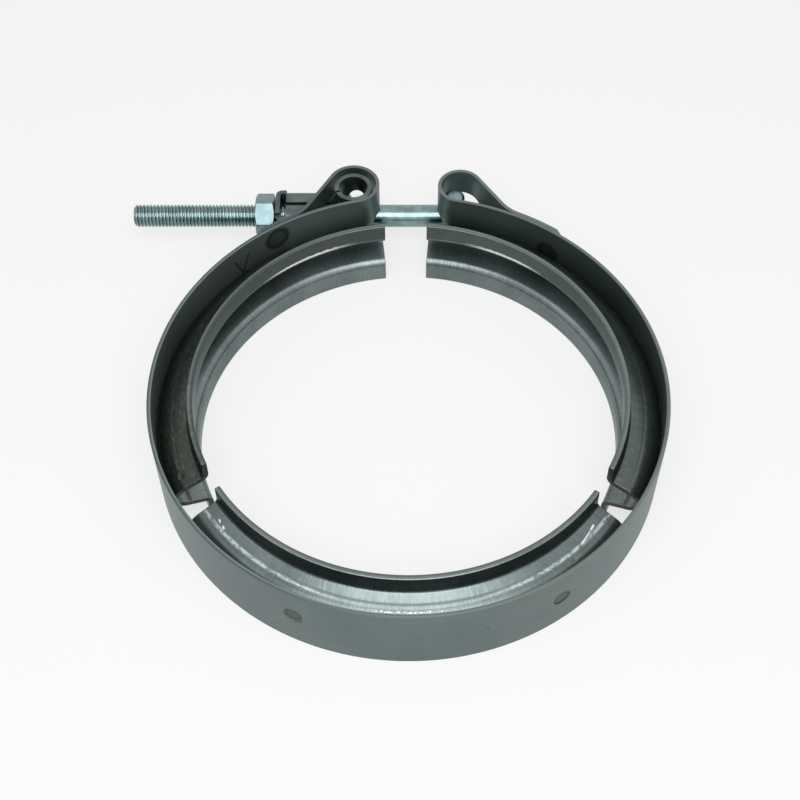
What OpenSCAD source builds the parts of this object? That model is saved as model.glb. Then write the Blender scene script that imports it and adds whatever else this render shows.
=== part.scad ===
// V-band clamp: a strap with a loop at each end, three V-section retainers welded
// inside it, a folded trunnion, a T-bolt and a hex nut.
// The frame is the clamp's own: the origin is on the ring's axis at mid height,
// +Z is the ring's axis, and the gap with the bolt is at +Y. Millimetres.

/* [Strap] */
// Outside diameter of the strap ring
strap_od = 165; // [160:1:200]
// Width of the strap along the ring's axis
strap_w = 27.5; // [26:0.5:32]
// Thickness of the strap
strap_t = 1.2; // [0.8:0.1:1.6]
// Angle from the gap's middle to the middle of the left loop
tube_loop_angle = 12.4; // [11.5:0.1:14]
// Angle from the gap's middle to where the left folded end meets the ring
tube_touch_angle = 29; // [27:0.5:31]
// Angle from the gap's middle to the middle of the right loop
bar_loop_angle = 11.8; // [11:0.1:14]
// Angle from the gap's middle to where the right folded end meets the ring
bar_touch_angle = 27; // [26:0.5:29]
// Angle from the gap's middle to the cut at each folded end
lap_end_angle = 39.5; // [39:0.5:50]
// Leg of the cut across each corner of the folded ends
lap_corner = 3; // [1:0.5:5]
// Radius of the bend between the loop's leg and the folded end
leg_bend_r = 14; // [10:1:16]
// Space left between the folded end and the ring
lap_gap = 0.15; // [0.1:0.05:0.3]

/* [Slots in the loops] */
// Height of the slots through which the bolt passes
slot_h = 10.6; // [9.4:0.1:12]
// Distance by which the left loop's slot runs into the arm's window
tube_slot_reach = 6.8; // [6:0.1:7.5]

/* [Retainers] */
// Radius of the clear circle inside the lips
seat_r = 68.3; // [64:0.1:70]
// Thickness of the retainer sheet
sheet_t = 1.8; // [1.4:0.1:2.2]
// Height over both lips
retainer_w = 26.9; // [24:0.1:27]
// Slope of each flank of the V, off the radius
flank_angle = 15; // [12:1:20]
// Width of the flat floor of the V at the middle of the sheet
floor_w = 1.9; // [1.5:0.1:4]
// Bend radius at the floor, at the middle of the sheet
floor_bend_r = 2.6; // [2:0.1:3.5]
// Bend radius at the lips, at the middle of the sheet
lip_bend_r = 2.4; // [1.6:0.1:3]
// Angle from the gap's middle to the end of the left retainer
left_end = 6.8; // [4:0.1:8]
// Angle from the gap's middle to the end of the right retainer
right_end = 5.2; // [4:0.1:8]
// Angle of the middle of the lower left gap between retainers
left_split = 209.6; // [206:0.1:214]
// Angle of the middle of the lower right gap between retainers
right_split = 329; // [326:0.1:334]
// Angle that each gap between retainers takes
split_gap = 7.8; // [4:0.1:10]
// Clearance between retainer and strap
retainer_clear = 0.05; // [0.02:0.01:0.1]

/* [Spot welds] */
// Diameter of the mark that a welding tip leaves
weld_d = 6.4; // [4:0.1:8]
// Depth of that mark
weld_depth = 0.15; // [0.05:0.05:0.3]
// Diameter of the weld nugget under the folded end
nugget_d = 4; // [3:0.1:5]
// Angle from the gap's middle to the welds of the folded end
lap_weld_angle = 36; // [34:0.5:37]
// Distance of the folded end's welds from mid height
lap_weld_z = 6.5; // [5:0.5:9]
// Height of the retainers' welds above mid height
weld_z = 1.2; // [-3:0.1:3]

/* [Trunnion] */
// Outside diameter of the rolled tube
tube_d = 13.2; // [12.6:0.1:13.6]
// Height of the rolled tube
tube_h = 26.4; // [24:0.1:27]
// Thickness of the trunnion sheet
trunnion_t = 1.6; // [1.2:0.1:1.8]
// Height of the arm that reaches to the nut
arm_h = 12.4; // [12:0.1:13]
// Distance from the tube's axis to the nut's seat
arm_reach = 28.1; // [27:0.5:34]
// Gap between the two folded edges of the arm
arm_seam = 1.6; // [0.8:0.1:2.5]
// Gap where the tube's edges meet
tube_seam = 0.8; // [0.4:0.1:1.5]
// Direction of that gap, measured from the arm's line
tube_seam_angle = 22; // [0:1:30]
// Relief between the arm's folds and the nut's seat
relief_w = 2.1; // [1:0.1:3]
// Height of the front wall beside that relief
front_wall_h = 9.6; // [8:0.1:11]
// Diameter of the relief holes in the tube's rear, at the roots of the arm's folds
root_hole_d = 7; // [5:0.1:8]
// Direction of those holes, measured from the gap's side of the tube
root_hole_angle = 73; // [65:1:80]
// Distance of those holes from the bolt's line
root_hole_z = 4.6; // [4:0.1:5.5]
// Outside radius of the arm's folds
fold_r = 2.2; // [1.8:0.1:2.8]
// Distance of the bolt's line below mid height
bolt_drop = 1.5; // [0:0.1:2]
// Distance of the bolt's line inside the left loop's middle
bolt_inset = 1; // [0.7:0.1:1]

/* [Bolt and nut] */
// Outside diameter of the bolt
bolt_d = 8; // [7.5:0.1:8.2]
// Distance of the thread's end beyond the nut's outer face
thread_stick_out = 43.8; // [20:0.1:60]
// Diameter of the bolt's cross bar
bar_d = 7.4; // [7:0.1:8]
// Length of the bolt's cross bar
bar_l = 21; // [18:0.1:22]
// Offset of the cross bar from its loop's middle, towards the gap
bar_offset = 2; // [0.5:0.1:2.2]
// Rounding at the cross bar's ends
bar_round = 1.6; // [0.5:0.1:2.5]
// Width of the nut across its flats
nut_af = 14; // [13:0.5:14.5]
// Height of the nut
nut_h = 6.8; // [6:0.1:8]
// Turn of the nut about the bolt's line
nut_turn = 9; // [0:0.5:60]
// Length of the chamfer at the thread's end
end_chamfer = 1; // [0.5:0.1:1.5]

/* [Clearances] */
// Play of the rolled tube in its loop, on the ring's side
tube_clear = 0.3; // [0.2:0.1:1]
// Play of the cross bar in its loop, on the gap's side
bar_clear = 1; // [0.5:0.1:1.5]
// Radial play of the nut on the bolt
thread_clear = 0.05; // [0.02:0.01:0.1]
// Radial play of the bolt in the trunnion
hole_clear = 0.5; // [0.3:0.1:0.6]
// Play of the arm in its window in the left loop
arm_clear = 0.6; // [0.4:0.1:0.8]
// Space between the nut and its seat
nut_clear = 0.3; // [0.1:0.1:1]

/* [Hidden] */
$fn = 96;
// Length by which joined pieces run into each other
bite = 0.05;
// Steps on each bend of the retainer's section and of the strap's legs
bend_steps = 10;
// Steps on half of the strap's ring, on its loop and on its folded end
ring_steps = 84;
loop_steps = 46;
lap_steps = 6;
// Nut's chamfer: its rim as a share of half the width across flats, and its slope
nut_rim_share = 0.95;
nut_chamfer_angle = 30;

// Strap: radii of its outside, its middle line and the folded end's middle line
strap_r = strap_od / 2;
ring_mid_r = strap_r - strap_t / 2;
lap_mid_r = strap_r + lap_gap + strap_t / 2;
// Outside radii of the two loops, which are bent round the tube and the cross bar
tube_r = tube_d / 2;
bar_r = bar_d / 2;
tube_loop_r = tube_r + bolt_inset + tube_clear + strap_t;
bar_loop_r = bar_r + bar_offset + bar_clear + strap_t;
// Middles of the two loops, which touch the ring from outside
tube_loop_c = loop_middle(tube_loop_r, tube_loop_angle, -1);
bar_loop_c = loop_middle(bar_loop_r, bar_loop_angle, 1);

// Retainer section: middles of its bends, for the upper half
lip_mid_r = seat_r + sheet_t / 2;
floor_mid_r = strap_r - strap_t - retainer_clear - sheet_t / 2;
floor_bend_c = [floor_mid_r - floor_bend_r, floor_w / 2];
flank_top = floor_bend_c + floor_bend_r * [sin(flank_angle), cos(flank_angle)];
lip_bend_x = lip_mid_r + lip_bend_r;
flank_end_x = lip_bend_x - lip_bend_r * sin(flank_angle);
flank_end_y = flank_top[1] + (flank_top[0] - flank_end_x) * tan(flank_angle);
lip_bend_c = [lip_bend_x, flank_end_y + lip_bend_r * cos(flank_angle)];
bend_turn = 90 - flank_angle;

// Where each retainer starts and ends, anticlockwise from +X, and how far along it
// the two welds are
left_span = [90 + left_end, left_split - split_gap / 2];
front_span = [left_split + split_gap / 2, right_split - split_gap / 2];
right_span = [right_split + split_gap / 2 - 360, 90 - right_end];
weld_shares = [0.29, 0.805];

// Direction in which the right loop's slot ends, where its straight leg begins
bar_bend_c = bend_middle(bar_touch_angle);
bar_slot_end = 270 - leg_heading([-bar_loop_c[0], bar_loop_c[1]] - bar_bend_c,
                                 bar_loop_r - strap_t / 2 + leg_bend_r);

// Bolt's line in Y and Z, and where the pieces on it lie along X
bolt_line = [tube_loop_c[1] - bolt_inset, -bolt_drop];
tube_x = tube_loop_c[0];
seat_x = tube_x - arm_reach;
nut_x = seat_x - nut_clear;
thread_end_x = nut_x - nut_h - thread_stick_out;
bar_x = bar_loop_c[0] - bar_offset;
bolt_r = bolt_d / 2;
fold_in_r = fold_r - trunnion_t;
hole_r = bolt_r + hole_clear;

// Points on an arc in n steps, of which the last few can be left off
function arc(c, r, a0, a1, n, left_off = 0) =
    [for (i = [0:n - left_off])
        c + r * [cos(a0 + (a1 - a0) * i / n), sin(a0 + (a1 - a0) * i / n)]];

function reversed(points) = [for (i = [len(points) - 1:-1:0]) points[i]];

// Middle of a loop, to the left of the gap for side -1 and to the right for 1
function loop_middle(r, angle, side) =
    (ring_mid_r + r - strap_t / 2) * [side * sin(angle), cos(angle)];

// Middle of the bend by which the left leg comes onto the ring
function bend_middle(touch_angle) =
    (lap_mid_r + leg_bend_r) * [-sin(touch_angle), cos(touch_angle)];

// Heading of the straight leg that touches a loop and the bend onto the ring
function leg_heading(between, radii) =
    270 + atan2(between[1], between[0]) - acos(radii / norm(between));

// One edge of half the strap, from the front of the ring to the cut end, with its
// loop at the left; face is +1 for the edge that is the ring's outside
function strap_edge(face, loop_r, loop_angle, touch_angle) =
    let (half_t = face * strap_t / 2,
         loop_mid_r = loop_r - strap_t / 2,
         loop_c = loop_middle(loop_r, loop_angle, -1),
         bend_c = bend_middle(touch_angle),
         heading = leg_heading(loop_c - bend_c, loop_mid_r + leg_bend_r))
    concat(
        arc([0, 0], ring_mid_r + half_t, 270, 90 + loop_angle, ring_steps, 1),
        arc(loop_c, loop_mid_r - half_t, loop_angle - 90, heading - 90, loop_steps),
        arc(bend_c, leg_bend_r + half_t, heading - 270, touch_angle - 90, bend_steps, 1),
        arc([0, 0], lap_mid_r - half_t, touch_angle + 90, lap_end_angle + 90, lap_steps));

// One side of the retainer's upper half, from the lip's edge to mid height;
// side is +1 for the face towards the strap and -1 for the face of the V
function section_side(side) = concat(
    [[lip_mid_r + side * sheet_t / 2, retainer_w / 2]],
    arc(lip_bend_c, lip_bend_r - side * sheet_t / 2, 180, 180 + bend_turn, bend_steps),
    arc(floor_bend_c, floor_bend_r + side * sheet_t / 2, bend_turn, 0, bend_steps));

function lowered(points) = [for (p = points) [p[0], -p[1]]];

module retainer_section() {
    outer = section_side(1);
    inner = section_side(-1);
    polygon(concat(outer, reversed(lowered(outer)), lowered(inner), reversed(inner)));
}

// A retainer from one angle to another
module retainer(a0, a1) {
    rotate([0, 0, a0]) rotate_extrude(angle = a1 - a0) retainer_section();
}

// Half the ring with its loop, leg and folded end, the loop being at the left
module strap_half(loop_r, loop_angle, touch_angle) {
    outside = strap_edge(1, loop_r, loop_angle, touch_angle);
    inside = strap_edge(-1, loop_r, loop_angle, touch_angle);
    difference() {
        translate([0, 0, -strap_w / 2]) linear_extrude(strap_w)
            polygon(concat(outside, reversed(inside)));
        lap_corners();
    }
    for (side = [-1, 1]) lap_weld(side) cylinder(h = lap_gap + 2 * bite, d = nugget_d);
}

// What is cut from the folded end's corners; the ring under them stays whole
module lap_corners() {
    rotate([0, 0, lap_end_angle]) difference() {
        for (side = [-1, 1])
            translate([0, lap_mid_r, side * strap_w / 2]) rotate([0, 45, 0])
                cube([lap_corner * sqrt(2), 4 * strap_t, lap_corner * sqrt(2)], center = true);
        cylinder(h = 2 * strap_w, r = strap_r + lap_gap / 2, center = true);
    }
}

// Places a child on the ring's outside, pointing outwards, at a folded end's weld
module lap_weld(side) {
    rotate([0, 0, lap_weld_angle]) translate([0, strap_r - bite, side * lap_weld_z])
        rotate([-90, 0, 0]) children();
}

// What is cut from the left loop for its slot: round at the gap's side, then about
// the loop's rear into the arm's window
module tube_loop_slot() {
    far = tube_loop_r + strap_t;
    translate([tube_x, bolt_line[0], bolt_line[1]]) {
        rotate([0, 90, 0]) cylinder(h = far, d = slot_h);
        translate([-tube_slot_reach, 0, -slot_h / 2])
            cube([tube_slot_reach + far, bolt_inset + far, slot_h]);
    }
}

// What is cut from the right loop for its slot: round at the gap's side, then about
// the loop's rear to a round end where the straight leg begins
module bar_loop_slot() {
    far = bar_loop_r + strap_t;
    end = far * [cos(bar_slot_end), sin(bar_slot_end)];
    translate([bar_loop_c[0], bar_loop_c[1], bolt_line[1]]) {
        for (direction = [bar_slot_end, 180])
            rotate([0, 0, direction]) rotate([0, 90, 0]) cylinder(h = far, d = slot_h);
        translate([0, 0, -slot_h / 2]) linear_extrude(slot_h)
            polygon([[0, 0], end, [end[0], far], [-far, far], [-far, 0]]);
    }
}

module arm_window() {
    w = tube_d + 2 * arm_clear;
    h = arm_h + 2 * arm_clear;
    translate([tube_x - arm_reach, bolt_line[0] - w / 2, bolt_line[1] - h / 2])
        cube([arm_reach - strap_t, w, h]);
}

// Shallow round mark on the strap's outside, at an angle and a height
module weld_mark(angle, z, r = strap_r) {
    rotate([0, 0, angle]) translate([r - weld_depth, 0, z])
        rotate([0, 90, 0]) cylinder(h = strap_t, d = weld_d);
}

module strap() {
    color("slategray") difference() {
        union() {
            strap_half(tube_loop_r, tube_loop_angle, tube_touch_angle);
            mirror([1, 0, 0]) strap_half(bar_loop_r, bar_loop_angle, bar_touch_angle);
        }
        tube_loop_slot();
        bar_loop_slot();
        arm_window();
        for (span = [left_span, front_span, right_span], share = weld_shares)
            weld_mark(span[0] + share * (span[1] - span[0]), weld_z);
        for (side = [-1, 1], z = [-lap_weld_z, lap_weld_z])
            weld_mark(90 + side * lap_weld_angle, z, lap_mid_r + strap_t / 2);
    }
}

module retainer_left() {
    color("lightslategray") retainer(left_span[0], left_span[1]);
}

module retainer_front() {
    color("lightslategray") retainer(front_span[0], front_span[1]);
}

module retainer_right() {
    color("lightslategray") retainer(right_span[0], right_span[1]);
}

// A rectangle with round corners
module rounded(w, h, r) {
    square([w - 2 * r, h], center = true);
    square([w, h - 2 * r], center = true);
    for (x = [-1, 1], y = [-1, 1])
        translate([x * (w / 2 - r), y * (h / 2 - r)]) circle(r = r);
}

// Turns a section drawn in Y and Z so that it runs along +X
module along_x(length) {
    rotate([90, 0, 90]) linear_extrude(length) children();
}

// The arm's box section, from its cut end to the tube's axis
module arm_box(length) {
    translate([-length, 0, 0]) along_x(length) rounded(tube_d, arm_h, fold_r);
}

module arm_hollow(length) {
    translate([-length - bite, 0, 0]) along_x(length + bite)
        rounded(tube_d - 2 * trunnion_t, arm_h - 2 * trunnion_t, fold_in_r);
}

// The nut's seat: past the relief the two walls turn in and join across the bolt
module nut_seat() {
    difference() {
        translate([-arm_reach, 0, -arm_h / 2]) linear_extrude(arm_h) seat_plan();
        translate([-arm_reach - bite, 0, 0]) rotate([0, 90, 0])
            cylinder(h = trunnion_t + 2 * bite, r = hole_r);
        for (side = [-1, 1])
            translate([-arm_reach - bite, -tube_r - bite, side > 0 ? front_wall_h / 2 : -arm_h])
                cube([trunnion_t + relief_w + bite, fold_r + bite, arm_h - front_wall_h / 2]);
    }
}

// The seat and what it has of the two walls, from above: the end of a longer box
module seat_plan() {
    length = trunnion_t + relief_w + bite;
    intersection() {
        difference() {
            translate([2 * length, 0]) rounded(4 * length, tube_d, fold_r);
            translate([2 * length, 0])
                rounded(4 * length - 2 * trunnion_t, tube_d - 2 * trunnion_t, fold_in_r);
        }
        translate([0, -tube_r]) square([length, tube_d]);
    }
}

module trunnion() {
    box_l = arm_reach - trunnion_t - relief_w;
    color("dimgray") translate([tube_x, bolt_line[0], bolt_line[1]]) union() {
        difference() {
            union() {
                translate([0, 0, bolt_drop - tube_h / 2]) cylinder(h = tube_h, r = tube_r);
                arm_box(box_l);
            }
            translate([0, 0, bolt_drop - tube_h / 2 - bite])
                cylinder(h = tube_h + 2 * bite, r = tube_r - trunnion_t);
            arm_hollow(box_l);
            translate([-box_l - bite, -arm_seam / 2, -arm_h])
                cube([box_l - tube_r, arm_seam, 2 * arm_h]);
            rotate([0, 0, tube_seam_angle]) translate([-tube_r - bite, -tube_seam / 2, -tube_h])
                cube([tube_r, tube_seam, 2 * tube_h]);
            rotate([0, 90, 0]) cylinder(h = tube_d, r = hole_r);
            for (side = [-1, 1]) rotate([0, 0, root_hole_angle])
                translate([0, 0, side * root_hole_z]) rotate([0, 90, 0])
                    cylinder(h = tube_d, d = root_hole_d);
        }
        nut_seat();
    }
}

// Half outline of the shank, turned about the bolt's line
module shank() {
    shank_l = bar_x - thread_end_x;
    rotate([0, 90, 0]) rotate_extrude() polygon([
        [0, 0], [bolt_r - end_chamfer, 0], [bolt_r, end_chamfer], [bolt_r, shank_l], [0, shank_l]]);
}

module cross_bar() {
    flat_r = bar_r - bar_round;
    rotate_extrude() {
        translate([0, -bar_l / 2]) square([flat_r, bar_l]);
        translate([0, bar_round - bar_l / 2]) square([bar_r, bar_l - 2 * bar_round]);
        for (side = [-1, 1]) translate([flat_r, side * (bar_l / 2 - bar_round)])
            intersection() {
                circle(r = bar_round);
                translate([0, side > 0 ? 0 : -bar_round]) square(bar_round);
            }
    }
}

module t_bolt() {
    color("lightsteelblue") {
        translate([thread_end_x, bolt_line[0], bolt_line[1]]) shank();
        translate([bar_x, bolt_line[0], bolt_line[1]]) cross_bar();
    }
}

// A hexagon cut back at its corners by a cone at each end
module nut_blank() {
    corner_r = nut_af / sqrt(3);
    rim_r = nut_af / 2 * nut_rim_share;
    chamfer = (corner_r - rim_r) * tan(nut_chamfer_angle);
    intersection() {
        cylinder(h = nut_h, r = corner_r, $fn = 6);
        rotate_extrude() polygon([
            [0, 0], [rim_r, 0], [corner_r, chamfer],
            [corner_r, nut_h - chamfer], [rim_r, nut_h], [0, nut_h]]);
    }
}

module nut() {
    bore_r = bolt_r + thread_clear;
    color("silver") translate([nut_x - nut_h, bolt_line[0], bolt_line[1]])
        rotate([nut_turn, 0, 0]) rotate([0, 90, 0]) difference() {
            nut_blank();
            translate([0, 0, -bite]) cylinder(h = nut_h + 2 * bite, r = bore_r);
        }
}

strap();
retainer_left();
retainer_front();
retainer_right();
trunnion();
t_bolt();
nut();
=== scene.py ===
import bpy
from math import radians, sin, cos, tan, pi, hypot
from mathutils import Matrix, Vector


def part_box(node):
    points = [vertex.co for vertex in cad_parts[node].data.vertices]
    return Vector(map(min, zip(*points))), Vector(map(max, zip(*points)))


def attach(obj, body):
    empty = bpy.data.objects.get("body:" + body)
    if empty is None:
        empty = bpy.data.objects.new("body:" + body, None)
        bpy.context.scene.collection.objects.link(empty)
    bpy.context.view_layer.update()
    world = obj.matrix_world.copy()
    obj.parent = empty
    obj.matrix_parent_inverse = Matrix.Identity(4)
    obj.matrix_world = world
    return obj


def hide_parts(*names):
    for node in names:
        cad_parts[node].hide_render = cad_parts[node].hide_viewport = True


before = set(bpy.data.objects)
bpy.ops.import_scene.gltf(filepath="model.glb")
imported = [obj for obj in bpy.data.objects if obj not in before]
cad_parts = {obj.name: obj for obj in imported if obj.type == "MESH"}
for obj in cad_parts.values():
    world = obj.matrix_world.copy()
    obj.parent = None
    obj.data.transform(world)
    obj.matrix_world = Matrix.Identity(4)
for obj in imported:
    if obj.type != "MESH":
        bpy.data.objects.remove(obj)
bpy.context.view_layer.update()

MM = 0.001


def lerp(a, b, f):
    """The value a share f of the way from a to b."""
    return a + (b - a) * f


# ---------------------------------------------------------------- sizes, in millimetres
# The boxes come from the frame and the other numbers repeat the part's source, but for the
# thread, the mouth of the nut's bore and the rounds at the lips' edges, which are chosen here.

strap_low, strap_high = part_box("strap")
bolt_low, bolt_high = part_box("t_bolt")
nut_low, nut_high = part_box("nut")

STRAP_R = strap_high[0] / MM
STRAP_HALF_W = strap_high[2] / MM
STRAP_T = 1.2
# Length of one degree along the strap's outside
DEGREE = STRAP_R * pi / 180

# Retainers: the sheet, the clear radius inside the lips, and each one's two ends in degrees
RETAINER_HALF_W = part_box("retainer_front")[1][2] / MM
RETAINER_CLEAR = 0.05
SHEET = 1.8
LIP_R = 68.3
LIP_EDGE_R = 0.35
LEFT_END, RIGHT_END = 6.8, 5.2
LEFT_SPLIT, RIGHT_SPLIT, HALF_SPLIT_GAP = 209.6, 329.0, 3.9
LEFT_SPAN = (90 + LEFT_END, LEFT_SPLIT - HALF_SPLIT_GAP)
FRONT_SPAN = (LEFT_SPLIT + HALF_SPLIT_GAP, RIGHT_SPLIT - HALF_SPLIT_GAP)
RIGHT_SPAN = (RIGHT_SPLIT + HALF_SPLIT_GAP - 360, 90 - RIGHT_END)

# Bolt and nut: their common line, the thread and the cross bar
BOLT_Y = 0.5 * (bolt_low[1] + bolt_high[1]) / MM
BOLT_Z = 0.5 * (bolt_low[2] + bolt_high[2]) / MM
BOLT_R = 0.5 * (bolt_high[1] - bolt_low[1]) / MM
PITCH = 1.25
THREAD_DEPTH = 0.60
THREAD_END = -38.0
BOLT_X0 = bolt_low[0] / MM
BAR_D = 7.4
BAR_ROUND = 1.6
BAR_X = bolt_high[0] / MM - BAR_D / 2
BAR_HALF_L = 0.5 * (bolt_high[2] - bolt_low[2]) / MM
NUT_X0, NUT_X1 = nut_low[0] / MM, nut_high[0] / MM
NUT_FLATS = 14.0
NUT_BORE_R = 4.05
NUT_MOUTH_R = 4.6
# The source's 9 degrees, and 30 because its hexagon has a corner at the bottom and this one at +Y
NUT_TURN = 39.0


# ---------------------------------------------------------------- node helpers

class Nodes:
    """Builds a material's node tree."""

    INPUTS = {"colour": "Base Color", "metal": "Metallic", "rough": "Roughness", "normal": "Normal",
              "edge": "Specular Tint"}

    def __init__(self, name):
        self.material = bpy.data.materials.new(name)
        self.material.use_nodes = True
        self.tree = self.material.node_tree
        self.shader = self.tree.nodes["Principled BSDF"]
        self.at = self.add("ShaderNodeTexCoord").outputs["Object"]

    def add(self, kind, **settings):
        node = self.tree.nodes.new(kind)
        for key, value in settings.items():
            setattr(node, key, value)
        return node

    def feed(self, socket, value):
        if isinstance(value, bpy.types.NodeSocket):
            self.tree.links.new(value, socket)
        elif isinstance(value, (tuple, list)) and len(value) == 3 and socket.type == "RGBA":
            socket.default_value = (*value, 1.0)
        else:
            socket.default_value = value

    def math(self, operation, *values):
        node = self.add("ShaderNodeMath", operation=operation)
        for socket, value in zip(node.inputs, values):
            self.feed(socket, value)
        return node.outputs[0]

    def vector(self, operation, *values):
        node = self.add("ShaderNodeVectorMath", operation=operation)
        for socket, value in zip(node.inputs, values):
            self.feed(socket, value)
        return node.outputs["Value" if operation == "DISTANCE" else "Vector"]

    def split(self, vector):
        node = self.add("ShaderNodeSeparateXYZ")
        self.feed(node.inputs[0], vector)
        return node.outputs

    def join(self, x, y, z):
        node = self.add("ShaderNodeCombineXYZ")
        for socket, value in zip(node.inputs, (x, y, z)):
            self.feed(socket, value)
        return node.outputs[0]

    def stretched(self, ring, scales, detail):
        """Noise on the ring's own coordinates, each scaled by itself."""
        scaled = [self.math("MULTIPLY", value, scale) for value, scale in zip(ring, scales)]
        return self.noise(self.join(*scaled), 1.0, detail)

    def noise(self, vector, scale, detail):
        node = self.add("ShaderNodeTexNoise")
        self.feed(node.inputs["Vector"], vector)
        node.inputs["Scale"].default_value = scale
        node.inputs["Detail"].default_value = detail
        node.inputs["Roughness"].default_value = 0.55
        return node.outputs["Fac"]

    def ramp(self, value, low, high, to_low=0.0, to_high=1.0):
        """Goes smoothly from to_low to to_high as the value goes from low to high."""
        node = self.add("ShaderNodeMapRange", interpolation_type="SMOOTHSTEP")
        for key, number in (("From Min", low), ("From Max", high), ("To Min", to_low), ("To Max", to_high)):
            node.inputs[key].default_value = number
        self.feed(node.inputs["Value"], value)
        return node.outputs["Result"]

    def mix(self, fac, a, b):
        node = self.add("ShaderNodeMix", data_type="RGBA")
        self.feed(node.inputs["Factor"], fac)
        self.feed(node.inputs[6], a)
        self.feed(node.inputs[7], b)
        return node.outputs[2]

    def bump(self, height, strength, distance, below=None):
        node = self.add("ShaderNodeBump")
        node.inputs["Strength"].default_value = strength
        node.inputs["Distance"].default_value = distance
        self.feed(node.inputs["Height"], height)
        if below is not None:
            self.feed(node.inputs["Normal"], below)
        return node.outputs["Normal"]

    def finish(self, **inputs):
        for key, value in inputs.items():
            self.feed(self.shader.inputs[self.INPUTS[key]], value)
        return self.material


def ring_coordinates(n):
    """The point's arc length, distance from the axis, and height, in millimetres."""
    x, y, z = n.split(n.vector("MULTIPLY", n.at, (1 / MM, 1 / MM, 1 / MM)))
    r = n.math("SQRT", n.math("ADD", n.math("MULTIPLY", x, x), n.math("MULTIPLY", y, y)))
    angle = n.math("ARCTAN2", y, x)
    return n.math("MULTIPLY", angle, STRAP_R), r, z


def on_ring(angle, z, r):
    """A point given by its angle round the ring, its height and its distance from the axis, in metres."""
    return (r * cos(radians(angle)) * MM, r * sin(radians(angle)) * MM, z * MM)


def near(n, value, middle, half, soft):
    """1 where a value is within half of the middle, falling to 0 over soft."""
    return n.ramp(n.math("ABSOLUTE", n.math("SUBTRACT", value, middle)), half, half + soft, 1.0, 0.0)


def both(n, *masks):
    """The product of masks and factors."""
    out = masks[0]
    for mask in masks[1:]:
        out = n.math("MULTIPLY", out, mask)
    return out


def streak(n, arc, level, start, end, width):
    """A thin straight mark between two points, given as angle and height, or angle and radius."""
    x0, x1 = start[0] * DEGREE, end[0] * DEGREE
    length = hypot(x1 - x0, end[1] - start[1])
    ux, uy = (x1 - x0) / length, (end[1] - start[1]) / length
    dx, dy = n.math("SUBTRACT", arc, x0), n.math("SUBTRACT", level, start[1])
    along = n.math("ADD", n.math("MULTIPLY", dx, ux), n.math("MULTIPLY", dy, uy))
    off = n.math("SUBTRACT", n.math("MULTIPLY", dx, uy), n.math("MULTIPLY", dy, ux))
    ends = near(n, along, length / 2, length / 2 - 0.4, 0.9)
    return both(n, ends, near(n, off, 0.0, width / 2, 0.25))


def weld_mark(n, place, outer, colour, stain, strength):
    """A colour with the heat tint of a weld on it: a darker ring and a dot, round a point on the sheet."""
    away = n.math("MULTIPLY", n.vector("DISTANCE", n.at, place), 1 / MM)
    wobble = n.noise(n.at, 900.0, 2.0)
    away = n.math("ADD", away, n.math("MULTIPLY", n.math("SUBTRACT", wobble, 0.5), 0.9))
    ring = n.math("MULTIPLY", n.ramp(away, outer * 0.45, outer * 0.75, 0.70, 1.0),
                  n.ramp(away, outer * 0.85, outer * 1.08, 1.0, 0.0))
    dot = n.ramp(away, outer * 0.12, outer * 0.3, 1.0, 0.0)
    fac = n.math("MULTIPLY", n.math("MAXIMUM", ring, n.math("MULTIPLY", dot, 0.7)), strength)
    return n.mix(fac, colour, stain)


# ---------------------------------------------------------------- materials

# Marks on the strap. Angles are anticlockwise from +X and heights from mid height.
# Welds: angle, height, the mark's radius and its strength
OUTER_WELDS = ((245.8, 1.9, 3.1, 0.85), (303.4, 0.5, 3.1, 0.85))
INNER_WELDS = ((124.0, 8.2, 4.9, 0.75), (53.6, 3.4, 4.2, 0.75))
# V-shaped scratch inside, and a pit outside: angle and height
SCRATCH_FOOT = (134.6, 1.2)
SCRATCH_TOPS = ((136.8, 8.9), (132.5, 8.6))
PIT = (286.3, 0.7)


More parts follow.
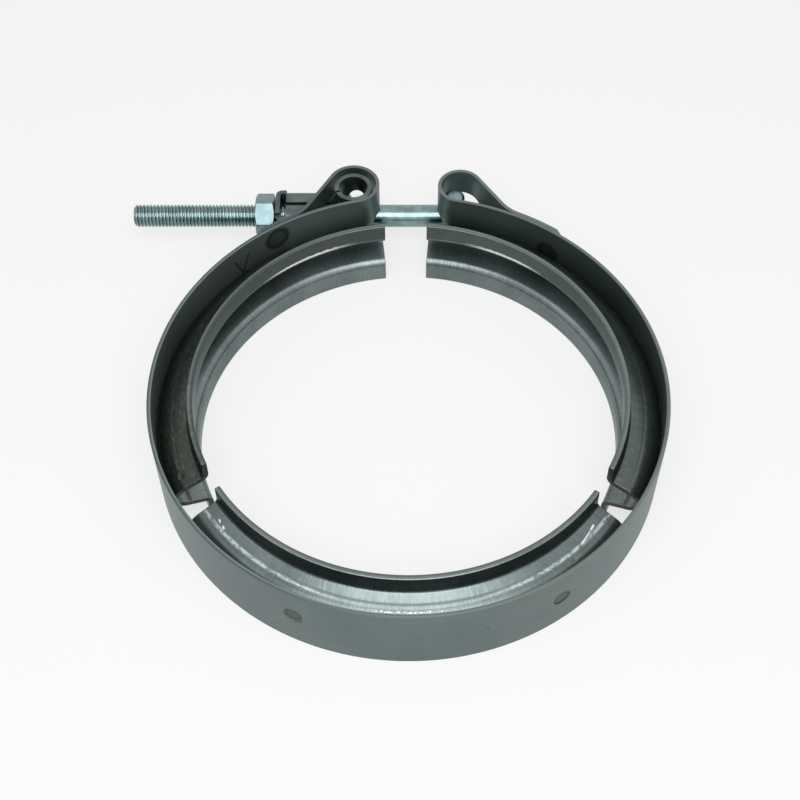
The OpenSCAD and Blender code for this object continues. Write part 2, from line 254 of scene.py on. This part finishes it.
def strap_steel():
    """Rolled spring steel: fine lines along the strap, dull patches, weld marks and a scratch."""
    n = Nodes("strap_steel")
    ring = ring_coordinates(n)
    arc, r, z = ring
    lines = n.stretched(ring, (0.05, 1.0, 6.0), 4.0)
    patches = n.noise(n.at, 38.0, 3.0)
    grain = n.noise(n.at, 1500.0, 2.0)
    colour = n.mix(n.ramp(patches, 0.35, 0.68), (0.108, 0.148, 0.147), (0.138, 0.182, 0.178))
    colour = n.mix(both(n, n.ramp(lines, 0.4, 0.75), 0.30), colour, (0.200, 0.250, 0.240))
    colour = n.mix(both(n, n.ramp(grain, 0.5, 0.8), 0.25), colour, (0.060, 0.080, 0.080))
    # painted light: the edges are paler as a painted highlight, darker on the left as painted shade
    left = n.ramp(n.math("ABSOLUTE", arc), 85 * DEGREE, 125 * DEGREE)
    edge = n.ramp(n.math("ABSOLUTE", z), STRAP_HALF_W - 0.35, STRAP_HALF_W - 0.05)
    edge_light_and_shade = n.mix(left, (0.190, 0.215, 0.195), (0.070, 0.098, 0.095))
    colour = n.mix(both(n, edge, 0.65), colour, edge_light_and_shade)
    # painted shade darkens the inner wall, and painted light makes it paler on the left
    inside = n.ramp(r, STRAP_R - 1.15, STRAP_R - 0.3, 1.0, 0.0)
    colour = n.mix(both(n, inside, n.math("SUBTRACT", 1.0, left), 0.45), colour, (0.060, 0.076, 0.072))
    colour = n.mix(both(n, inside, left, 0.60), colour, (0.260, 0.310, 0.300))
    for angle, height, radius, strength in OUTER_WELDS:
        place = on_ring(angle, height, STRAP_R)
        colour = weld_mark(n, place, radius, colour, (0.040, 0.034, 0.026), strength)
    for angle, height, radius, strength in INNER_WELDS:
        place = on_ring(angle, height, STRAP_R - STRAP_T)
        colour = weld_mark(n, place, radius, colour, (0.018, 0.017, 0.016), strength)
    for top in SCRATCH_TOPS:
        scratch = both(n, streak(n, arc, z, SCRATCH_FOOT, top, 0.25), inside, 0.85)
        colour = n.mix(scratch, colour, (0.010, 0.010, 0.010))
    away = n.math("MULTIPLY", n.vector("DISTANCE", n.at, on_ring(*PIT, STRAP_R)), 1 / MM)
    colour = n.mix(n.ramp(away, 0.25, 0.6, 0.8, 0.0), colour, (0.03, 0.03, 0.03))
    rough = n.math("ADD", 0.36, n.math("MULTIPLY", patches, 0.16))
    normal = n.bump(lines, 0.22, 0.00006)
    normal = n.bump(grain, 0.10, 0.00004, normal)
    return n.finish(colour=colour, metal=0.85, rough=rough, normal=normal)


# Bright streaks on the front retainer's upper flank, partly scuff marks and partly painted highlight:
# (angle, radius) at both ends, and the width
STREAKS = (((-141.8, 72.9), (-141.0, 73.2), 0.25), ((-139.8, 73.4), (-139.0, 73.65), 0.30),
           ((-40.1, 73.0), (-41.6, 73.35), 0.35), ((-42.0, 73.45), (-46.0, 74.4), 0.08))


def left_side(n, arc):
    """1 on the left retainer's lower part, fading out towards the gap."""
    before_front = n.ramp(arc, -150 * DEGREE, -152 * DEGREE)
    return n.math("MAXIMUM", n.ramp(arc, 110 * DEGREE, 140 * DEGREE), before_front)


def upper_flank(n, r, z):
    """1 on the upper flanks, outside the lips."""
    return both(n, n.ramp(z, 2.0, 3.0), n.ramp(r, 70.3, 70.8))


def heat_tint_and_sheen(n, colour, ring, flecks):
    """Brown tint towards the lower ends of the side retainers, with pale flecks there that are a painted
    highlight of the bend.
    """
    arc, r, z = ring
    before_front = n.ramp(arc, -150 * DEGREE, -152 * DEGREE)
    left = both(n, n.ramp(arc, -179 * DEGREE, -168 * DEGREE), before_front, n.ramp(z, 2.0, 3.0),
                n.ramp(r, 78.5, 76.5))
    right = both(n, n.ramp(arc, -10 * DEGREE, -24 * DEGREE), near(n, arc, -20 * DEGREE, 14.0, 6.0), 0.6)
    ends = n.math("MAXIMUM", left, right)
    colour = n.mix(both(n, ends, n.ramp(flecks, 0.30, 0.62), 0.75), colour, (0.070, 0.068, 0.048))
    # the pale flecks are a painted highlight of the bend
    return n.mix(both(n, ends, n.ramp(flecks, 0.60, 0.74), 0.8), colour, (0.36, 0.36, 0.29))


def painted_side_shade(n, colour, ring, flecks):
    """Painted shade: darker inner faces of the upper lips, and darker flanks at the sides, browner on the
    left.
    """
    arc, r, z = ring
    flank = upper_flank(n, r, z)
    lip_face = both(n, n.ramp(z, 7.2, 7.6), n.ramp(r, 69.2, 69.0), 0.75)
    colour = n.mix(lip_face, colour, (0.050, 0.062, 0.057))
    brown = n.mix(n.ramp(flecks, 0.4, 0.7), (0.036, 0.039, 0.031), (0.090, 0.095, 0.074))
    colour = n.mix(both(n, flank, left_side(n, arc), 0.85), colour, brown)
    left_arc = n.ramp(arc, 92 * DEGREE, 100 * DEGREE)
    left_lip = both(n, n.ramp(z, 2.0, 3.0), n.ramp(r, 70.5, 70.2), left_arc, 0.40)
    colour = n.mix(left_lip, colour, (0.046, 0.056, 0.054))
    right = near(n, arc, 5 * DEGREE, 45.0, 30.0)
    return n.mix(both(n, flank, right, 0.35), colour, (0.052, 0.060, 0.054))


def front_painted_light(n, colour, ring, flecks):
    """Painted light on the front flank: darker away from its middle as painted shade, with a bright painted
    highlight line along the crest there, and a dark painted reflection line between, in the middle.
    """
    arc, r, z = ring
    flank = upper_flank(n, r, z)
    from_front = n.math("ABSOLUTE", n.math("SUBTRACT", arc, -90 * DEGREE))
    ends = n.ramp(from_front, 57 * DEGREE, 56 * DEGREE)
    sides = both(n, n.ramp(from_front, 12 * DEGREE, 32 * DEGREE), ends)
    colour = n.mix(both(n, flank, sides, 0.45), colour, (0.052, 0.064, 0.062))
    crest_highlight_line = near(n, r, 74.5, 0.25, 0.5)
    crest_highlight = both(n, flank, sides, crest_highlight_line, n.ramp(flecks, 0.30, 0.60), 0.75)
    colour = n.mix(crest_highlight, colour, (0.48, 0.56, 0.56))
    dark_line = near(n, r, 74.0, 0.20, 0.45)
    middle = both(n, flank, n.ramp(from_front, 42 * DEGREE, 16 * DEGREE), dark_line, 0.7)
    return n.mix(middle, colour, (0.055, 0.068, 0.070))


def painted_bend_highlight(n, colour, ring, flecks):
    """Painted highlight: a bright line at the inner bend of the upper lips, standing for the bend's
    reflection of the floor, on both sides of the gap.
    """
    arc, r, z = ring
    places = n.math("MAXIMUM", near(n, arc, 121 * DEGREE, 7.0, 17.0), near(n, arc, 61 * DEGREE, 5.0, 15.0))
    wavy_z = n.math("ADD", z, n.math("MULTIPLY", flecks, 1.2))
    bend = both(n, near(n, wavy_z, 7.6, 0.8, 0.4), n.ramp(r, 69.9, 69.6), places)
    return n.mix(both(n, bend, n.ramp(flecks, 0.22, 0.42), 0.85), colour, (0.92, 0.94, 0.80))


def front_glints_and_scuffs(n, colour, ring):
    """Painted glints in front, where the flank meets the strap, and the longer bright streaks, partly scuff
    marks and partly painted highlight.
    """
    arc, r, z = ring
    on_top = n.ramp(z, 3.0, 3.5)
    glint_noise = n.stretched(ring, (1.3, 2.6, 1.0), 2.0)
    front = both(n, near(n, arc, -90 * DEGREE, 9.0, 4.0), near(n, r, 76.2, 0.12, 0.25), on_top)
    colour = n.mix(both(n, front, n.ramp(glint_noise, 0.54, 0.64)), colour, (0.85, 0.90, 0.88))
    for start, end, width in STREAKS:
        mark = both(n, streak(n, arc, r, start, end, width), on_top, 0.75)
        colour = n.mix(mark, colour, (0.80, 0.88, 0.86))
    return colour


def retainer_steel():
    """Pressed stainless: fine lines across the flanks and brown near the cuts, with painted shade at the
    sides and painted highlights on the front flank and at the bends.
    """
    n = Nodes("retainer_steel")
    ring = ring_coordinates(n)
    arc, _, z = ring
    across = n.stretched(ring, (2.6, 0.25, 0.25), 4.0)
    along = n.stretched(ring, (0.06, 3.0, 3.0), 3.0)
    flecks = n.stretched(ring, (0.5, 1.2, 1.0), 3.0)
    patches = n.noise(n.at, 55.0, 4.0)
    grain = n.noise(n.at, 1300.0, 2.0)
    colour = n.mix(n.ramp(patches, 0.32, 0.7), (0.120, 0.150, 0.148), (0.182, 0.218, 0.216))
    colour = n.mix(both(n, n.ramp(across, 0.45, 0.75), 0.5), colour, (0.270, 0.325, 0.328))
    colour = n.mix(both(n, n.ramp(grain, 0.52, 0.82), 0.25), colour, (0.060, 0.072, 0.068))
    colour = heat_tint_and_sheen(n, colour, ring, flecks)
    colour = painted_side_shade(n, colour, ring, flecks)
    colour = front_painted_light(n, colour, ring, flecks)
    colour = painted_bend_highlight(n, colour, ring, flecks)
    colour = front_glints_and_scuffs(n, colour, ring)
    # painted highlight: the lips' edges are paler, less so on the left
    edge = n.ramp(n.math("ABSOLUTE", z), RETAINER_HALF_W - 0.35, RETAINER_HALF_W - 0.05)
    edge = both(n, edge, n.math("SUBTRACT", 0.45, n.math("MULTIPLY", left_side(n, arc), 0.38)))
    colour = n.mix(edge, colour, (0.190, 0.225, 0.215))
    rough = n.math("ADD", 0.20, n.math("MULTIPLY", patches, 0.14))
    normal = n.bump(across, 0.30, 0.00008)
    normal = n.bump(along, 0.22, 0.00008, normal)
    normal = n.bump(grain, 0.10, 0.00004, normal)
    return n.finish(colour=colour, metal=0.88, rough=rough, normal=normal, edge=(0.60, 0.66, 0.65))


def sheared_steel():
    """Cut ends of the retainers: dark, with the shear's lines."""
    n = Nodes("sheared_steel")
    lines = n.noise(n.vector("MULTIPLY", n.at, (1800.0, 1800.0, 200.0)), 1.0, 3.0)
    colour = n.mix(n.ramp(lines, 0.3, 0.7), (0.030, 0.034, 0.033), (0.075, 0.084, 0.080))
    return n.finish(colour=colour, metal=1.0, rough=0.45, normal=n.bump(lines, 0.3, 0.00008))


def trunnion_steel():
    """Folded sheet, darker than the strap, with lines along the arm."""
    n = Nodes("trunnion_steel")
    lines = n.noise(n.vector("MULTIPLY", n.at, (60.0, 1600.0, 1600.0)), 1.0, 3.0)
    patches = n.noise(n.at, 130.0, 3.0)
    grain = n.noise(n.at, 1500.0, 2.0)
    colour = n.mix(n.ramp(patches, 0.35, 0.7), (0.085, 0.110, 0.107), (0.140, 0.175, 0.170))
    colour = n.mix(both(n, n.ramp(lines, 0.5, 0.8), 0.3), colour, (0.220, 0.260, 0.250))
    colour = n.mix(both(n, n.ramp(grain, 0.5, 0.8), 0.25), colour, (0.045, 0.055, 0.054))
    rough = n.math("ADD", 0.32, n.math("MULTIPLY", patches, 0.16))
    normal = n.bump(lines, 0.2, 0.00006)
    normal = n.bump(grain, 0.12, 0.00004, normal)
    return n.finish(colour=colour, metal=1.0, rough=rough, normal=normal)


def zinc(name, light, dark, roughness):
    """Bright zinc plate with a faint cloudiness and fine pits."""
    n = Nodes(name)
    clouds = n.noise(n.at, 260.0, 3.0)
    pits = n.noise(n.at, 2400.0, 2.0)
    colour = n.mix(n.ramp(clouds, 0.35, 0.68), dark, light)
    pit_colour = tuple(0.45 * value for value in dark)
    colour = n.mix(both(n, n.ramp(pits, 0.58, 0.8), 0.35), colour, pit_colour)
    rough = n.math("ADD", roughness, n.math("MULTIPLY", clouds, 0.14))
    normal = n.bump(pits, 0.08, 0.00004)
    return n.finish(colour=colour, metal=1.0, rough=rough, normal=normal)


# ---------------------------------------------------------------- meshes

def piece(name, points, faces, body, node, material, sharp=35.0):
    """A smooth-shaded piece from points in millimetres, standing for one CAD node."""
    mesh = bpy.data.meshes.new(name)
    mesh.from_pydata([(x * MM, y * MM, z * MM) for x, y, z in points], [], faces)
    mesh.validate()
    mesh.materials.append(material)
    mesh.polygons.foreach_set("use_smooth", [True] * len(mesh.polygons))
    mesh.set_sharp_from_angle(angle=radians(sharp))
    obj = bpy.data.objects.new(name, mesh)
    bpy.context.scene.collection.objects.link(obj)
    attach(obj, body)
    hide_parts(node)
    return obj


def ring_faces(rows, columns, closed=False):
    """Four-sided faces between neighbouring rings of points; closed joins the last ring to the first."""
    faces = []
    for i in range(rows if closed else rows - 1):
        for j in range(columns):
            this, following = i * columns, ((i + 1) % rows) * columns
            beside = (j + 1) % columns
            faces.append((this + j, this + beside, following + beside, following + j))
    return faces


def tube_faces(rows, columns):
    """Faces of a tube, and one flat face at each of its ends."""
    faces = ring_faces(rows, columns)
    faces.append(tuple(range(columns))[::-1])
    faces.append(tuple(range((rows - 1) * columns, rows * columns)))
    return faces


def edges(obj, width, angle):
    """Rounds a piece's sharp edges."""
    bevel = obj.modifiers.new("edge_round", "BEVEL")
    bevel.width = width * MM
    bevel.segments = 2
    bevel.limit_method = "ANGLE"
    bevel.angle_limit = radians(angle)


# Retainer section: the tilt of each stretch of the sheet, and the bends as (radius, tilt, next tilt)
FLANK, CREST, LEDGE, SHOULDER = radians(16), radians(19.5), radians(12.5), radians(56)
LEDGE_W = 0.5
BENDS = ((2.4, pi / 2, FLANK), (4.0, FLANK, CREST), (3.2, CREST, LEDGE), (6.8, LEDGE, SHOULDER),
         (2.6, SHOULDER, pi / 2))
# Angle between two sections of a retainer, in degrees
SECTION_STEP = 0.4

# Dents in the upper flanks: (angle, radius, half length, half width, depth)
LEFT_DENTS = ((202.4, 76.2, 1.6, 0.9, 0.30),)
FRONT_DENTS = ((218.2, 73.2, 1.3, 0.7, 0.25), (220.8, 73.8, 1.6, 0.8, 0.30), (223.9, 74.2, 2.2, 0.7, 0.20),
               (319.6, 73.4, 1.6, 0.9, 0.25), (316.6, 73.9, 3.0, 0.7, 0.35), (310.1, 76.4, 1.6, 0.6, 0.30))


def retainer_middle():
    """Middle of the sheet from the lip's edge to mid height: (r, z, tilt) points."""
    start = LIP_R + SHEET / 2
    across = STRAP_R - STRAP_T - RETAINER_CLEAR - SHEET / 2 - start
    bends_across = sum(radius * abs(sin(b) - sin(a)) for radius, a, b in BENDS)
    bends_down = sum(radius * abs(cos(b) - cos(a)) for radius, a, b in BENDS)
    flank = (across - bends_across - LEDGE_W * cos(LEDGE)) / cos(FLANK)
    lip = RETAINER_HALF_W - bends_down - flank * sin(FLANK) - LEDGE_W * sin(LEDGE)
    r, z = start, RETAINER_HALF_W
    points = [(r, z, pi / 2)]
    for straight, (radius, a, b) in zip((lip, flank, 0.0, LEDGE_W, 0.0), BENDS):
        if straight:
            r, z = r + straight * cos(a), z - straight * sin(a)
            points.append((r, z, a))
        # three points to a millimetre of the bend
        steps = max(5, int(radius * abs(b - a) * 3))
        for i in range(1, steps + 1):
            t = lerp(a, b, i / steps)
            points.append((r + radius * abs(sin(t) - sin(a)), z - radius * abs(cos(t) - cos(a)), t))
        r, z = points[-1][:2]
    return points


def retainer_face(middle, side):
    """One face of the sheet down to mid height, from its lip's rounded edge: 1 is outside, -1 inside."""
    points = []
    for i in range(4):
        a = radians(90 * i / 3)
        in_by, down_by = LIP_EDGE_R * (1 - sin(a)), LIP_EDGE_R * (1 - cos(a))
        points.append((middle[0][0] + side * (SHEET / 2 - in_by), RETAINER_HALF_W - down_by))
    half = side * SHEET / 2
    return points + [(r + half * sin(t), z + half * cos(t)) for r, z, t in middle[1:]]


def retainer_profile():
    """Closed outline of the section, the same above and below mid height: (r, z) points."""
    middle = retainer_middle()
    outer, inner = retainer_face(middle, 1), retainer_face(middle, -1)
    lower_outer = [(r, -z) for r, z in outer[:-1]]
    lower_inner = [(r, -z) for r, z in inner]
    return outer + lower_outer[::-1] + lower_inner + inner[:-1][::-1]


def dented(angle, r, z, dents):
    """Height of a point of the sheet, lowered where a dent is in the upper flank."""
    for at, at_r, length, width, depth in dents:
        away = hypot(radians(angle - at) * at_r / length, (r - at_r) / width)
        if z > 0 and away < 1:
            z -= depth * (1 - away * away) ** 2
    return z


def retainer(node, span, materials, dents=()):
    """Sweeps the section from one cut end to the other."""
    profile = retainer_profile()
    steps = int((span[1] - span[0]) / SECTION_STEP)
    points = []
    for i in range(steps + 1):
        angle = lerp(*span, i / steps)
        along, across = cos(radians(angle)), sin(radians(angle))
        points += [(r * along, r * across, dented(angle, r, z, dents)) for r, z in profile]
    faces = [face[::-1] for face in tube_faces(steps + 1, len(profile))]
    obj = piece(node + "_sheet", points, faces, "clamp_ring", node, materials[0])
    # the last two faces are the cut ends
    obj.data.materials.append(materials[1])
    for polygon in obj.data.polygons[-2:]:
        polygon.material_index = 1
    edges(obj, 0.15, 60)


def round_bolt_line(x, r, a):
    """A point at x, at a distance from the bolt's line and at an angle round it."""
    return x, BOLT_Y + r * cos(a), BOLT_Z + r * sin(a)


# Points round the bolt and along one turn of its thread
BOLT_POINTS = 48
TURN_ROWS = 12


def thread_radius(x, turn):
    """Radius of the thread at x millimetres from its free end and a part of a turn round it."""
    phase = (x / PITCH - turn) % 1.0
    # 0 on the crest, a third of the pitch wide, and 1 in the root
    root = min(1.0, max(0.0, (abs(phase - 0.5) * 2 - 0.34) / 0.5))
    root = root * root * (3 - 2 * root)
    # the thread fades out at the shank, and its free end is chamfered
    fade_out = min(1.0, max(0.0, (THREAD_END - BOLT_X0 - x) / 2.5))
    chamfer = min(1.0, (x + 0.2) / 1.1)
    return min(BOLT_R - 0.02 - THREAD_DEPTH * root * fade_out, BOLT_R - 1.0 + chamfer)


def shank_points():
    """Rings of points along the shank, threaded from its free end to THREAD_END and plain after it."""
    turns = [j / BOLT_POINTS for j in range(BOLT_POINTS)]
    points = []
    x = BOLT_X0
    while x < THREAD_END:
        points += [round_bolt_line(x, thread_radius(x - BOLT_X0, turn), 2 * pi * turn) for turn in turns]
        x += PITCH / TURN_ROWS
    for x in (THREAD_END + 0.2, -20.0, 0.0, BAR_X):
        points += [round_bolt_line(x, BOLT_R, 2 * pi * turn) for turn in turns]
    return points


def bar_points():
    """Rings of points up the cross bar, rounded at both ends."""
    outline = []
    for i in range(7):
        a = radians(90 * i / 6)
        in_by, up_by = BAR_ROUND * (1 - sin(a)), BAR_ROUND * (1 - cos(a))
        outline.append((BAR_D / 2 - in_by, up_by - BAR_HALF_L))
    outline += [(r, -z) for r, z in outline[::-1]]
    points = []
    for r, z in outline:
        for j in range(BOLT_POINTS):
            a = 2 * pi * j / BOLT_POINTS
            points.append((BAR_X + r * cos(a), BOLT_Y + r * sin(a), BOLT_Z + z))
    return points


def threaded_bolt(material):
    """Shank with a rolled helical thread, and the cross bar."""
    shank, bar = shank_points(), bar_points()
    faces = [face[::-1] for face in tube_faces(len(shank) // BOLT_POINTS, BOLT_POINTS)]
    for face in tube_faces(len(bar) // BOLT_POINTS, BOLT_POINTS):
        faces.append(tuple(len(shank) + index for index in face))
    piece("bolt_threaded", shank + bar, faces, "bolt", "t_bolt", material, 30)


def hex_nut(material):
    """Hexagon nut, both ends chamfered so that each flat ends in a curve, its bore countersunk."""
    around = 144
    apothem = NUT_FLATS / 2
    rim = apothem * 0.97
    corner = apothem / cos(pi / 6) - 0.12
    points = []
    for end_x, inward in ((NUT_X0, 1), (NUT_X1, -1)):
        bore, mouth, flat, sides = [], [], [], []
        for j in range(around):
            a = 2 * pi * j / around
            hexagon = min(apothem / cos(a % (pi / 3) - pi / 6), corner)
            drop = max(0.0, (hexagon - rim) * tan(radians(30)))
            turned = a + radians(NUT_TURN)
            bore.append(round_bolt_line(end_x + inward * 0.8, NUT_BORE_R, turned))
            mouth.append(round_bolt_line(end_x, NUT_MOUTH_R, turned))
            flat.append(round_bolt_line(end_x, rim - 0.05, turned))
            sides.append(round_bolt_line(end_x + inward * drop, hexagon, turned))
        for ring in (bore, mouth, flat, sides)[::inward]:
            points += ring
    faces = ring_faces(len(points) // around, around, True)
    piece("nut_chamfered", points, faces, "nut", "nut", material, 25)


# ---------------------------------------------------------------- the clamp

def smooth_group(sharp):
    """A geometry node group that shades smooth below an angle."""
    group = bpy.data.node_groups.new("smooth_by_angle_%d" % sharp, "GeometryNodeTree")
    group.interface.new_socket("Geometry", in_out="INPUT", socket_type="NodeSocketGeometry")
    group.interface.new_socket("Geometry", in_out="OUTPUT", socket_type="NodeSocketGeometry")
    start = group.nodes.new("NodeGroupInput")
    end = group.nodes.new("NodeGroupOutput")
    angle = group.nodes.new("GeometryNodeInputMeshEdgeAngle")
    below = group.nodes.new("FunctionNodeCompare")
    below.data_type = "FLOAT"
    below.operation = "LESS_EQUAL"
    below.inputs[1].default_value = radians(sharp)
    faces = group.nodes.new("GeometryNodeSetShadeSmooth")
    faces.domain = "FACE"
    sides = group.nodes.new("GeometryNodeSetShadeSmooth")
    sides.domain = "EDGE"
    link = group.links.new
    link(angle.outputs["Unsigned Angle"], below.inputs[0])
    link(start.outputs[0], faces.inputs["Geometry"])
    link(faces.outputs[0], sides.inputs["Geometry"])
    link(below.outputs[0], sides.inputs["Shade Smooth"])
    link(sides.outputs[0], end.inputs[0])
    return group


def dress_cad(node, material, width, sharp):
    """Keeps a CAD node's own shape, with its flat facets joined and its edges rounded."""
    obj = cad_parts[node]
    obj.data.materials.clear()
    obj.data.materials.append(material)
    weld = obj.modifiers.new("weld", "WELD")
    weld.merge_threshold = 0.000002
    join = obj.modifiers.new("join_flats", "DECIMATE")
    join.decimate_type = "DISSOLVE"
    join.angle_limit = radians(0.4)
    edges(obj, width, 32)
    soft = obj.modifiers.new("smooth", "NODES")
    soft.node_group = smooth_group(sharp)


def build():
    """The clamp's seven pieces: two keep their CAD shape, and five are made here."""
    strap_material = strap_steel()
    sheet = (retainer_steel(), sheared_steel())
    trunnion_material = trunnion_steel()
    bolt_material = zinc("bolt_zinc", (0.250, 0.345, 0.355), (0.175, 0.250, 0.260), 0.16)
    nut_material = zinc("nut_zinc", (0.200, 0.280, 0.292), (0.140, 0.205, 0.216), 0.24)
    dress_cad("strap", strap_material, 0.14, 20)
    dress_cad("trunnion", trunnion_material, 0.16, 25)
    retainer("retainer_left", LEFT_SPAN, sheet, LEFT_DENTS)
    retainer("retainer_front", FRONT_SPAN, sheet, FRONT_DENTS)
    retainer("retainer_right", RIGHT_SPAN, sheet)
    threaded_bolt(bolt_material)
    hex_nut(nut_material)


# ---------------------------------------------------------------- floor, light, camera

def white_floor():
    """Pale floor that keeps the object's shadow and glows to the camera and in reflections."""
    z = strap_low[2]
    size = 3.0
    mesh = bpy.data.meshes.new("floor")
    corners = [(-size, -size, z), (size, -size, z), (size, size, z), (-size, size, z)]
    mesh.from_pydata(corners, [], [(0, 1, 2, 3)])
    obj = bpy.data.objects.new("floor", mesh)
    bpy.context.scene.collection.objects.link(obj)
    n = Nodes("floor_white")
    n.finish(colour=(0.93, 0.935, 0.935), rough=0.9)
    n.shader.inputs["Specular IOR Level"].default_value = 0.0
    glow = n.add("ShaderNodeEmission")
    glow.inputs["Color"].default_value = (1.0, 1.0, 1.0, 1.0)
    path = n.add("ShaderNodeLightPath")
    seen = n.math("MAXIMUM", path.outputs["Is Camera Ray"], path.outputs["Is Glossy Ray"])
    mixed = n.add("ShaderNodeMixShader")
    n.feed(mixed.inputs[0], n.math("MULTIPLY", seen, 0.72))
    n.feed(mixed.inputs[1], n.shader.outputs[0])
    n.feed(mixed.inputs[2], glow.outputs[0])
    out = n.tree.nodes["Material Output"]
    n.feed(out.inputs["Surface"], mixed.outputs[0])
    mesh.materials.append(n.material)


def white_world():
    """White surroundings, brighter to the camera and in reflections than as light."""
    world = bpy.data.worlds.new("studio")
    bpy.context.scene.world = world
    world.use_nodes = True
    tree = world.node_tree
    back = tree.nodes["Background"]
    path = tree.nodes.new("ShaderNodeLightPath")
    seen = tree.nodes.new("ShaderNodeMath")
    seen.operation = "MAXIMUM"
    tree.links.new(path.outputs["Is Camera Ray"], seen.inputs[0])
    tree.links.new(path.outputs["Is Glossy Ray"], seen.inputs[1])
    level = tree.nodes.new("ShaderNodeMapRange")
    level.inputs["To Min"].default_value = 0.38
    level.inputs["To Max"].default_value = 1.0
    tree.links.new(seen.outputs[0], level.inputs["Value"])
    back.inputs["Color"].default_value = (1.0, 1.0, 1.0, 1.0)
    tree.links.new(level.outputs["Result"], back.inputs["Strength"])


def lamp(name, azimuth, elevation, distance, width, height, watts):
    """Soft area lamp aimed at the middle of the clamp; azimuth 0 is on the camera's side."""
    a, e = radians(azimuth), radians(elevation)
    place = (distance * cos(e) * sin(a), -distance * cos(e) * cos(a), distance * sin(e))
    data = bpy.data.lights.new(name, "AREA")
    data.shape = "RECTANGLE"
    data.size = width
    data.size_y = height
    data.energy = watts
    obj = bpy.data.objects.new(name, data)
    obj.location = place
    obj.rotation_euler = (radians(90 - elevation), 0, a)
    bpy.context.scene.collection.objects.link(obj)


def camera():
    """The photograph's view: from the front, 54 degrees above the floor."""
    elevation = radians(54.22)
    distance = 0.4698
    data = bpy.data.cameras.new("camera")
    data.lens = 65.25
    data.sensor_width = 36.0
    data.shift_x = -0.01075
    data.shift_y = 0.0126
    data.clip_start = 0.01
    obj = bpy.data.objects.new("camera", data)
    obj.location = (0.0, -distance * cos(elevation), distance * sin(elevation))
    obj.rotation_euler = (pi / 2 - elevation, 0.0, 0.0)
    bpy.context.scene.collection.objects.link(obj)
    bpy.context.scene.camera = obj


build()
white_floor()
white_world()
lamp("lamp_key", 0, 63, 0.55, 0.46, 0.46, 2.0)
lamp("lamp_left", -85, 52, 1.0, 0.30, 0.30, 0.35)
lamp("lamp_right", 85, 52, 1.0, 0.30, 0.30, 0.30)
camera()
bpy.context.scene.view_settings.view_transform = "Standard"
